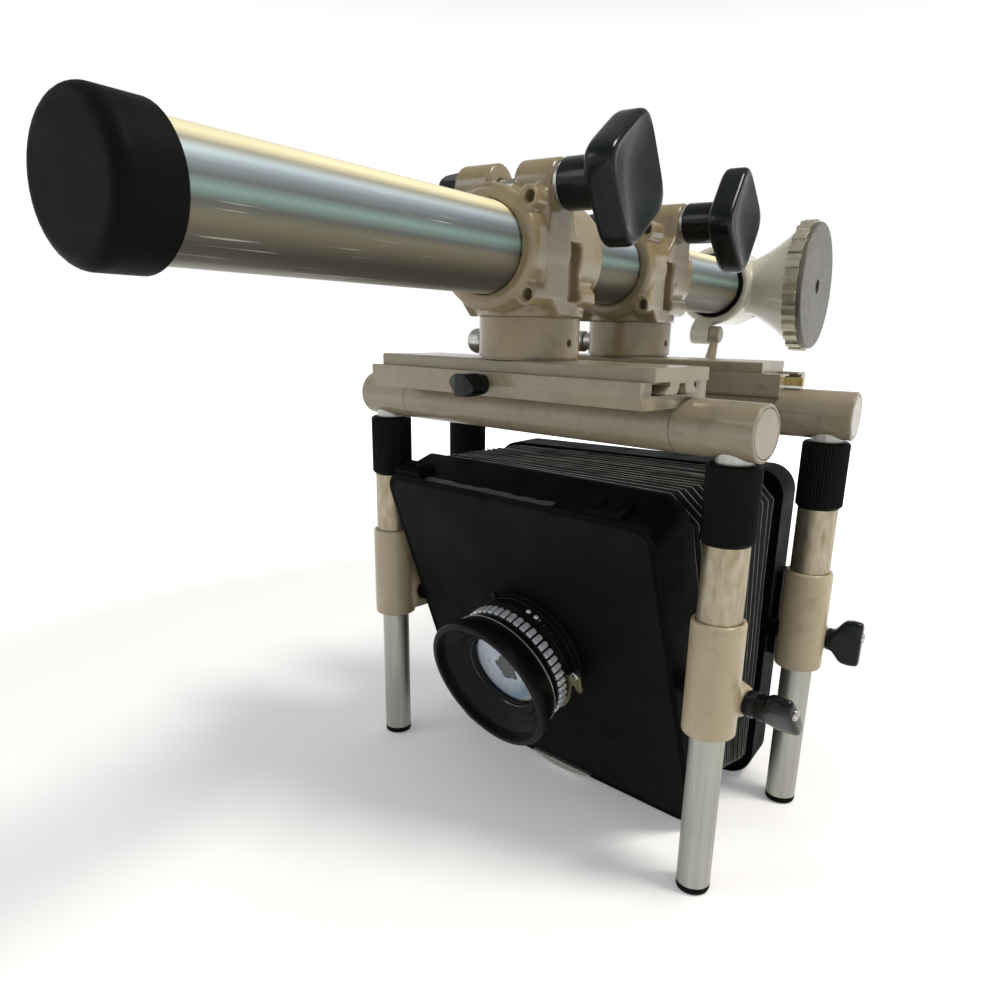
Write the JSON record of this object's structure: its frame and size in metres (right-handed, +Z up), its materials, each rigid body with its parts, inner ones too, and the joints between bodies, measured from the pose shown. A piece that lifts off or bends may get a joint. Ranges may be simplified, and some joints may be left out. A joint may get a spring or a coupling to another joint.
{
  "type": "monorail camera",
  "caption": "Large-format camera whose lens frame and ground glass frame hang from standards that slide along a round rail, joined by pleated bellows, with a lens, clamps and tripod head.",
  "frame": {"origin": "on the floor under the middle of the outline, the floor being the plane of the column feet", "axes": "+Y runs along the rail from the lens to the ground glass, +Z is up, +X points to the side of the clamp knobs"},
  "size_m": [0.2456, 0.468, 0.3015],
  "materials": {
    "cream_enamel": "grey-beige satin enamel over cast and extruded light alloy",
    "black_enamel": "black crackle and satin enamel over light alloy",
    "bare_alloy": "satin anodised tube with fine scratches",
    "steel": "satin",
    "black_plastic": "glossy moulded knobs",
    "brass": "satin",
    "rubber": "matte",
    "bellows_cloth": "black grained leatherette",
    "lens_black": "black anodised",
    "lens_silver": "bright cut ridges",
    "lens_glass": "coated lens glass",
    "screen_glass": "ground on one face",
    "olive_brass": "dull patina"
  },
  "bodies": {
    "rail": {"rail_tube": "bare_alloy", "rail_caps": "black_plastic"},
    "front_clamp": {"front_clamp_body": "cream_enamel", "front_clamp_bolt": "steel", "front_clamp_nut": "black_plastic"},
    "front_clamp_knob": {"front_clamp_knob": "black_plastic"},
    "front_swing": {"front_turntable": "cream_enamel", "front_slide_upper": "cream_enamel"},
    "front_swing_knob": {"front_swing_knob": "steel"},
    "front_carrier": {"front_slide_lower": "cream_enamel", "front_crossbar": "cream_enamel", "front_columns": "bare_alloy", "front_feet": "rubber"},
    "front_shift_knob": {"front_shift_knob": "black_plastic"},
    "front_carriage": {"front_lift_tubes": "bare_alloy", "front_sleeves": "cream_enamel"},
    "front_left_collar": {"front_left_collar": "black_enamel"},
    "front_right_collar": {"front_right_collar": "black_enamel"},
    "front_tilt_knob": {"front_tilt_knob": "black_plastic"},
    "rear_clamp": {"rear_clamp_body": "cream_enamel", "rear_clamp_bolt": "steel", "rear_clamp_nut": "black_plastic"},
    "rear_clamp_knob": {"rear_clamp_knob": "black_plastic"},
    "rear_swing": {"rear_turntable": "cream_enamel", "rear_slide_upper": "cream_enamel"},
    "rear_swing_knob": {"rear_swing_knob": "steel"},
    "rear_carrier": {"rear_slide_lower": "cream_enamel", "rear_slide_gib": "brass", "rear_crossbar": "cream_enamel", "rear_columns": "bare_alloy", "rear_feet": "rubber"},
    "rear_shift_knob": {"rear_shift_knob": "black_plastic"},
    "rear_carriage": {"rear_lift_tubes": "bare_alloy", "rear_sleeves": "cream_enamel"},
    "rear_left_collar": {"rear_left_collar": "black_enamel"},
    "rear_right_collar": {"rear_right_collar": "black_enamel"},
    "rear_tilt_knob": {"rear_tilt_knob": "black_plastic"},
    "lens_standard": {"front_frame": "black_enamel", "lens_board": "black_enamel", "board_latches": "black_enamel", "board_tab": "bare_alloy", "shutter_body": "lens_black", "lens_front_cell": "lens_black", "front_glass": "lens_glass", "iris": "lens_black", "lens_rear_cell": "lens_black", "bellows": "bellows_cloth"},
    "speed_ring": {"speed_ring": "lens_silver"},
    "aperture_lever": {"aperture_lever": "olive_brass"},
    "cocking_lever": {"cocking_lever": "lens_black"},
    "back_standard": {"rear_frame": "black_enamel", "back_frame": "black_enamel", "back_springs": "brass"},
    "glass_back": {"glass_frame": "black_enamel", "ground_glass": "screen_glass"},
    "tripod_head": {"tripod_liner": "rubber", "tripod_clamp": "cream_enamel", "tripod_plate": "cream_enamel"},
    "tripod_ring": {"tripod_ring": "cream_enamel"},
    "tripod_lever": {"tripod_lever": "cream_enamel"}
  },
  "joints": [
    {"name": "front_focus", "type": "slide", "parent": "rail", "child": "front_clamp", "axis": [0, 1, 0], "range_m": [-0.135, 0], "deforming": ["bellows"]},
    {"name": "front_clamp_knob_turn", "type": "hinge", "parent": "front_clamp", "child": "front_clamp_knob", "pos_m": [-0.00685, -0.0602, 0.2793], "axis": [1, 0, 0], "range_deg": [-180, 180]},
    {"name": "front_swing", "type": "hinge", "parent": "front_clamp", "child": "front_swing", "pos_m": [-0.00685, -0.0463, 0.2277], "axis": [0, 0, 1], "range_deg": [-4, 24], "deforming": ["bellows"]},
    {"name": "front_swing_knob_turn", "type": "hinge", "parent": "front_swing", "child": "front_swing_knob", "pos_m": [-0.03637, -0.04094, 0.2229], "axis": [0.9839, -0.1788, 0], "range_deg": [-180, 180]},
    {"name": "front_shift", "type": "slide", "parent": "front_swing", "child": "front_carrier", "axis": [0.9839, -0.1788, 0], "range_m": [-0.012, 0.035], "deforming": ["bellows"]},
    {"name": "front_shift_knob_turn", "type": "hinge", "parent": "front_carrier", "child": "front_shift_knob", "pos_m": [-0.01577, -0.06684, 0.2064], "axis": [0.1788, 0.9839, 0], "range_deg": [-90, 90]},
    {"name": "front_rise", "type": "slide", "parent": "front_carrier", "child": "front_carriage", "axis": [0, 0, 1], "range_m": [-0.065, 0], "deforming": ["bellows"]},
    {"name": "front_left_collar_turn", "type": "hinge", "parent": "front_carriage", "child": "front_left_collar", "pos_m": [-0.11023, -0.01613, 0.168], "axis": [0, 0, 1], "range_deg": [0, 90]},
    {"name": "front_right_collar_turn", "type": "hinge", "parent": "front_carriage", "child": "front_right_collar", "pos_m": [0.08655, -0.05189, 0.168], "axis": [0, 0, 1], "range_deg": [0, 90]},
    {"name": "front_tilt", "type": "hinge", "parent": "front_carriage", "child": "lens_standard", "pos_m": [-0.00978, -0.0227, 0.0865], "axis": [0.9839, -0.1788, 0], "range_deg": [-39, 3], "deforming": ["bellows"]},
    {"name": "front_tilt_knob_turn", "type": "hinge", "parent": "front_carriage", "child": "front_tilt_knob", "pos_m": [0.10041, -0.04272, 0.0865], "axis": [0.9839, -0.1788, 0], "range_deg": [-90, 90]},
    {"name": "speed_ring_turn", "type": "hinge", "parent": "lens_standard", "child": "speed_ring", "pos_m": [-0.01347, -0.04299, 0.07586], "axis": [-0.1684, -0.9269, -0.3355], "range_deg": [-90, 90]},
    {"name": "aperture_lever_turn", "type": "hinge", "parent": "lens_standard", "child": "aperture_lever", "pos_m": [-0.01269, -0.03868, 0.07742], "axis": [-0.1684, -0.9269, -0.3355], "range_deg": [-40, 60]},
    {"name": "cocking_lever_turn", "type": "hinge", "parent": "lens_standard", "child": "cocking_lever", "pos_m": [-0.01157, -0.03252, 0.07965], "axis": [-0.1684, -0.9269, -0.3355], "range_deg": [0, 50]},
    {"name": "rear_focus", "type": "slide", "parent": "rail", "child": "rear_clamp", "axis": [0, 1, 0], "range_m": [0, 0.06], "deforming": ["bellows"]},
    {"name": "rear_clamp_knob_turn", "type": "hinge", "parent": "rear_clamp", "child": "rear_clamp_knob", "pos_m": [-0.00685, 0.0601, 0.2793], "axis": [1, 0, 0], "range_deg": [-180, 180]},
    {"name": "rear_swing", "type": "hinge", "parent": "rear_clamp", "child": "rear_swing", "pos_m": [-0.00685, 0.0509, 0.2277], "axis": [0, 0, 1], "range_deg": [-20, 4], "deforming": ["bellows"]},
    {"name": "rear_swing_knob_turn", "type": "hinge", "parent": "rear_swing", "child": "rear_swing_knob", "pos_m": [-0.03685, 0.0509, 0.2229], "axis": [1, 0, 0], "range_deg": [-180, 180]},
    {"name": "rear_shift", "type": "slide", "parent": "rear_swing", "child": "rear_carrier", "axis": [1, 0, 0], "range_m": [-0.035, 0.003], "deforming": ["bellows"]},
    {"name": "rear_shift_knob_turn", "type": "hinge", "parent": "rear_carrier", "child": "rear_shift_knob", "pos_m": [0.00085, 0.0727, 0.2064], "axis": [0, 1, 0], "range_deg": [-90, 90]},
    {"name": "rear_rise", "type": "slide", "parent": "rear_carrier", "child": "rear_carriage", "axis": [0, 0, 1], "range_m": [-0.065, 0], "deforming": ["bellows"]},
    {"name": "rear_left_collar_turn", "type": "hinge", "parent": "rear_carriage", "child": "rear_left_collar", "pos_m": [-0.10115, 0.0397, 0.168], "axis": [0, 0, 1], "range_deg": [0, 90]},
    {"name": "rear_right_collar_turn", "type": "hinge", "parent": "rear_carriage", "child": "rear_right_collar", "pos_m": [0.09885, 0.0397, 0.168], "axis": [0, 0, 1], "range_deg": [0, 90]},
    {"name": "rear_tilt", "type": "hinge", "parent": "rear_carriage", "child": "back_standard", "pos_m": [-0.00115, 0.0512, 0.0865], "axis": [1, 0, 0], "range_deg": [-3, 20], "deforming": ["bellows"]},
    {"name": "rear_tilt_knob_turn", "type": "hinge", "parent": "rear_carriage", "child": "rear_tilt_knob", "pos_m": [0.11084, 0.0512, 0.0865], "axis": [1, 0, 0], "range_deg": [-90, 90]},
    {"name": "glass_back_pull", "type": "slide", "parent": "back_standard", "child": "glass_back", "axis": [0, 1, 0], "range_m": [0, 0.012], "stiffness_N_per_m": 800, "springref_m": -0.006},
    {"name": "tripod_slide", "type": "slide", "parent": "rail", "child": "tripod_head", "axis": [0, 1, 0], "range_m": [-0.06, 0.008]},
    {"name": "tripod_ring_turn", "type": "hinge", "parent": "tripod_head", "child": "tripod_ring", "pos_m": [0.04414, 0.1879, 0.2569], "axis": [1, 0, 0], "continuous": true},
    {"name": "tripod_lever_turn", "type": "hinge", "parent": "tripod_head", "child": "tripod_lever", "pos_m": [-0.01185, 0.1689, 0.2279], "axis": [1, 0, 0], "range_deg": [-60, 60]}
  ]
}
